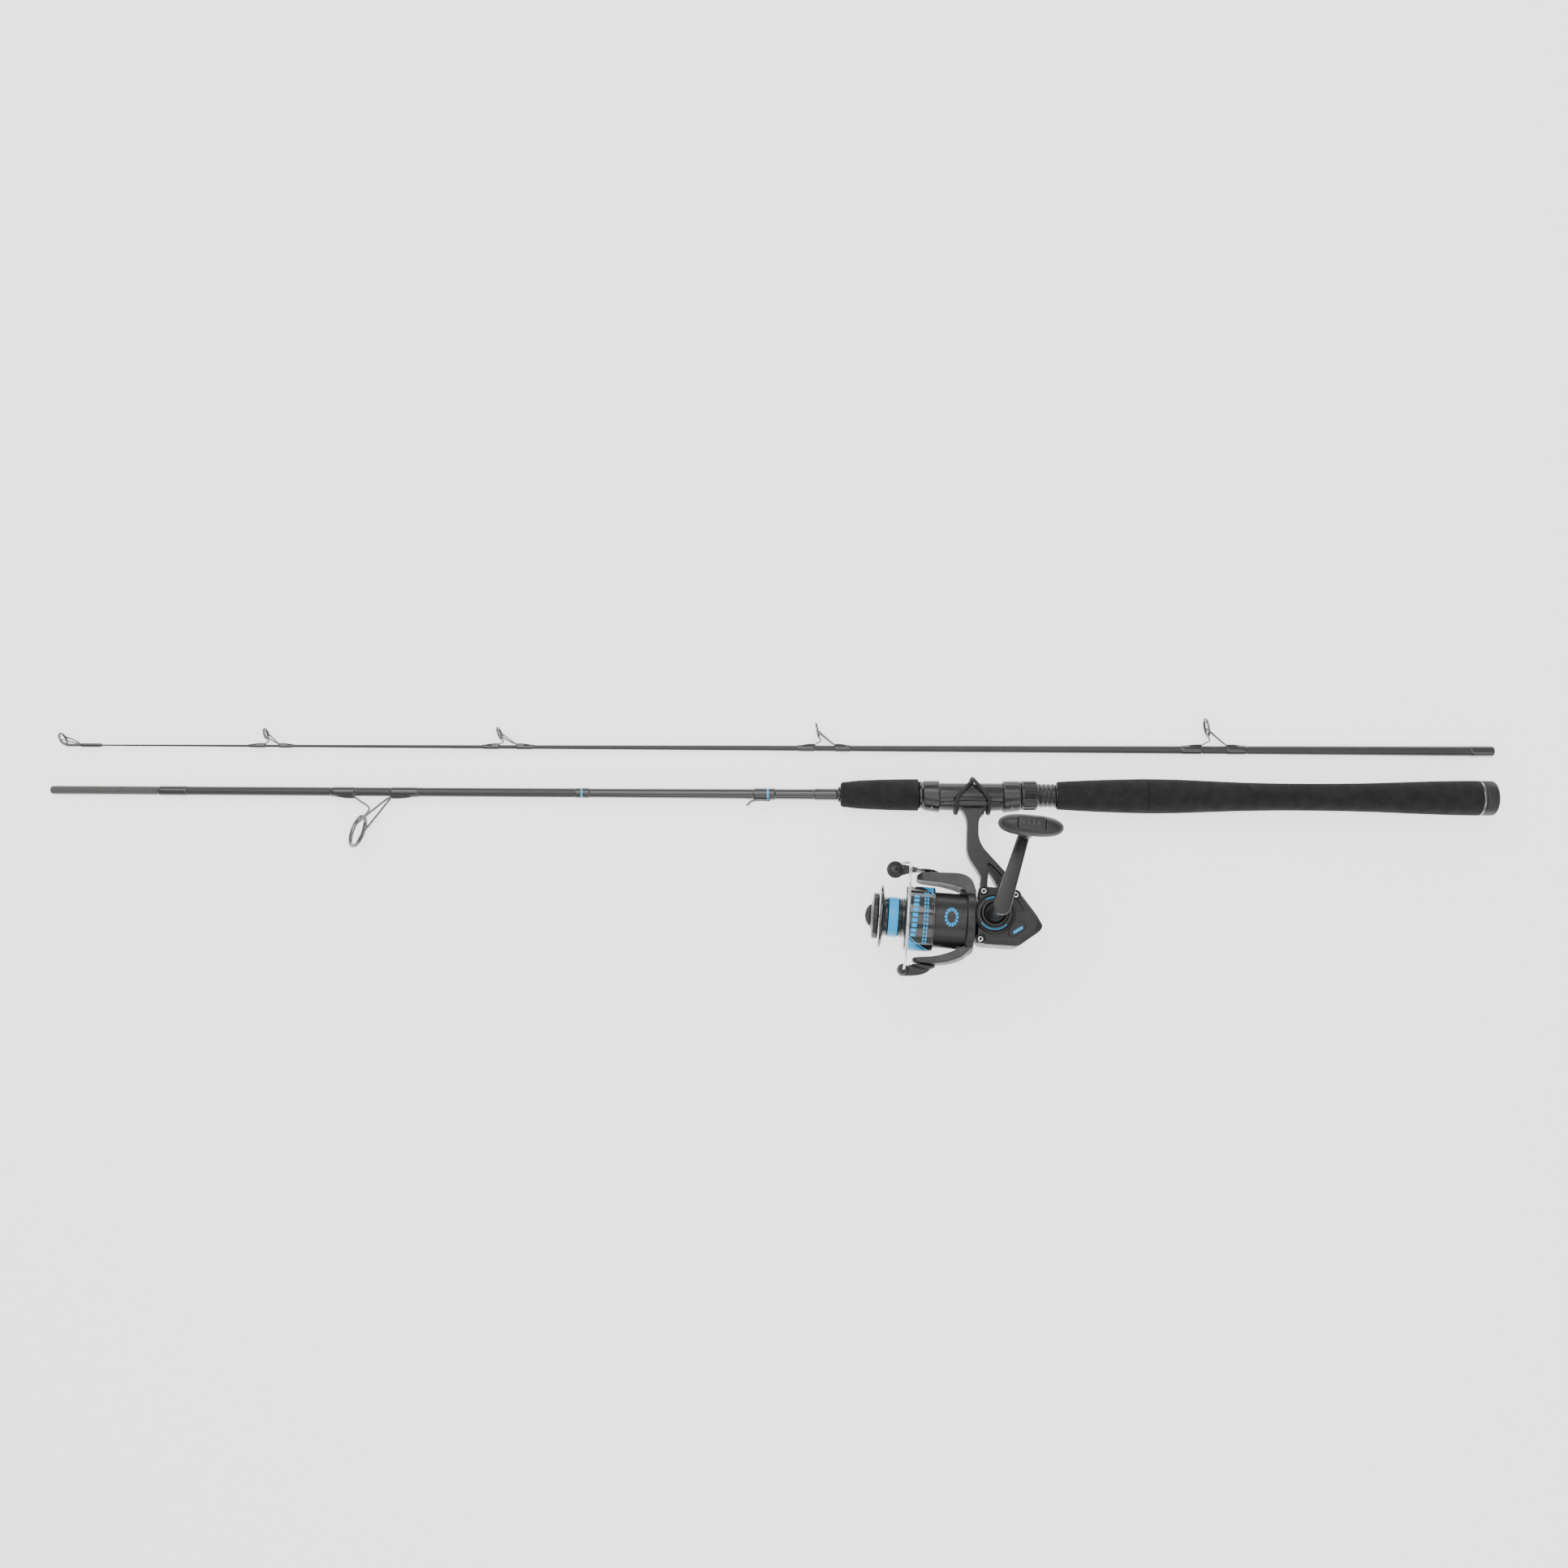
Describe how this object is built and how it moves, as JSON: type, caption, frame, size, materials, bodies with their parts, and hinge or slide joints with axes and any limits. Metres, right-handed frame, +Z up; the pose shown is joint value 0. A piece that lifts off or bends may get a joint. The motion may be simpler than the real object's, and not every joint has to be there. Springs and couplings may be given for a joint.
{
  "type": "spinning fishing rod and reel",
  "caption": "Spinning rod taken apart into butt and tip sections, with a fixed-spool reel clamped in the butt section's seat.",
  "frame": {"origin": "centre of the footprint on the table, both sections lying side by side", "axes": "+X along the rod towards the butt, +Y from the butt section to the tip section, +Z up from the table"},
  "size_m": [1.2684, 0.2232, 0.1351],
  "materials": {
    "blank": "matte dark grey carbon, glossy black near the grip and on the wraps",
    "foam": "matte closed-cell foam with a fine speckle",
    "seat_plastic": "satin moulded plastic",
    "rubber": "matte black rubber",
    "graphite": "satin graphite-black paint with a fine metallic grain",
    "dark_chrome": "polished dark chrome",
    "ceramic": "polished dark ceramic",
    "steel": "polished stainless steel",
    "brass": "machined brass",
    "spool_black": "gloss black anodised look with blue accents",
    "accent_blue": "satin cyan-blue"
  },
  "bodies": {
    "butt_section": {"butt_blank": "blank", "butt_cap": "rubber", "butt_trim_ring": "steel", "rear_grip_front": "foam", "rear_grip_rear": "foam", "seat_barrel": "seat_plastic", "fixed_hood": "seat_plastic", "fore_grip": "foam", "grip_trim_ring": "seat_plastic", "winding_check": "dark_chrome", "hook_keeper": "dark_chrome", "stripper_guide_frame": "dark_chrome", "stripper_guide_ring": "ceramic", "reel_tie": "rubber", "reel_body": "graphite", "side_cover": "graphite", "cover_screw_1": "steel", "cover_screw_2": "steel", "cover_screw_3": "steel", "drive_bearing_near": "steel", "drive_bearing_far": "steel", "pinion_bearing": "steel", "one_way_clutch": "steel", "handle_cap": "graphite"},
    "sliding_hood": {"sliding_hood": "seat_plastic"},
    "lock_nut": {"lock_nut": "seat_plastic"},
    "tip_section": {"tip_blank": "blank", "guide_1_frame": "dark_chrome", "guide_1_ring": "ceramic", "guide_2_frame": "dark_chrome", "guide_2_ring": "ceramic", "guide_3_frame": "dark_chrome", "guide_3_ring": "ceramic", "guide_4_frame": "dark_chrome", "guide_4_ring": "ceramic", "tip_top_frame": "dark_chrome", "tip_top_ring": "ceramic"},
    "handle": {"handle_axle": "dark_chrome", "handle_arm": "graphite", "drive_gear": "brass", "knob_spindle": "steel"},
    "knob": {"handle_knob": "rubber", "knob_badge": "graphite"},
    "rotor": {"rotor": "graphite", "rotor_nut": "steel", "pinion_gear": "brass", "bail_spring": "steel"},
    "bail": {"bail_arm": "graphite", "bail_lever": "graphite", "bail_wire": "steel", "roller_cap": "graphite"},
    "line_roller": {"line_roller": "steel"},
    "main_shaft": {"main_shaft": "steel", "crosshead": "brass"},
    "oscillation_gear": {"oscillation_gear": "seat_plastic"},
    "spool": {"spool": "spool_black", "line_band": "accent_blue", "drag_washers": "steel"},
    "drag_knob": {"drag_knob": "graphite"}
  },
  "joints": [
    {"name": "tip_section_lift", "type": "slide", "parent": "butt_section", "child": "tip_section", "axis": [0, 0, 1], "range_m": [0, 0.15]},
    {"name": "hood_slide", "type": "slide", "parent": "butt_section", "child": "sliding_hood", "axis": [0.9999, 0, 0.0135], "range_m": [0, 0.014]},
    {"name": "nut_turn", "type": "hinge", "parent": "sliding_hood", "child": "lock_nut", "pos_m": [0.22503, 0.04266, 0.0155], "axis": [0.9999, 0, 0.0135], "range_deg": [0, 1295]},
    {"name": "handle_crank", "type": "hinge", "parent": "butt_section", "child": "handle", "pos_m": [0.18891, -0.0566, 0.06115], "axis": [-0.0131, 0.2487, 0.9685], "continuous": true},
    {"name": "rotor_spin", "type": "hinge", "parent": "butt_section", "child": "rotor", "pos_m": [0.14885, -0.06474, 0.04205], "axis": [0.9974, -0.0659, 0.0304], "continuous": true},
    {"name": "oscillation_turn", "type": "hinge", "parent": "butt_section", "child": "oscillation_gear", "pos_m": [0.20937, -0.06563, 0.03174], "axis": [-0.0131, 0.2487, 0.9685], "continuous": true},
    {"name": "bail_flip", "type": "hinge", "parent": "rotor", "child": "bail", "pos_m": [0.1319, -0.06362, 0.04154], "axis": [-0.0714, -0.9663, 0.2472], "range_deg": [0, 105]},
    {"name": "line_roller_spin", "type": "hinge", "parent": "bail", "child": "line_roller", "pos_m": [0.10686, -0.02273, 0.0307], "axis": [-0.0131, 0.2487, 0.9685], "continuous": true},
    {"name": "knob_spin", "type": "hinge", "parent": "handle", "child": "knob", "pos_m": [0.20933, 0.01788, 0.11871], "axis": [-0.0131, 0.2487, 0.9685], "continuous": true},
    {"name": "shaft_stroke", "type": "slide", "parent": "butt_section", "child": "main_shaft", "axis": [0.9974, -0.0659, 0.0304], "range_m": [0, 0.017]},
    {"name": "spool_slip", "type": "hinge", "parent": "main_shaft", "child": "spool", "pos_m": [0.10896, -0.0621, 0.04084], "axis": [0.9974, -0.0659, 0.0304], "continuous": true},
    {"name": "drag_knob_turn", "type": "hinge", "parent": "main_shaft", "child": "drag_knob", "pos_m": [0.08901, -0.06078, 0.04023], "axis": [0.9974, -0.0659, 0.0304], "range_deg": [-360, 720]}
  ],
  "couplings": [
    {"joint": "nut_turn", "follows": "hood_slide", "rad_per_m": 1611.1},
    {"joint": "rotor_spin", "follows": "handle_crank", "ratio": 5.625},
    {"joint": "oscillation_turn", "follows": "handle_crank", "ratio": -0.91667}
  ]
}
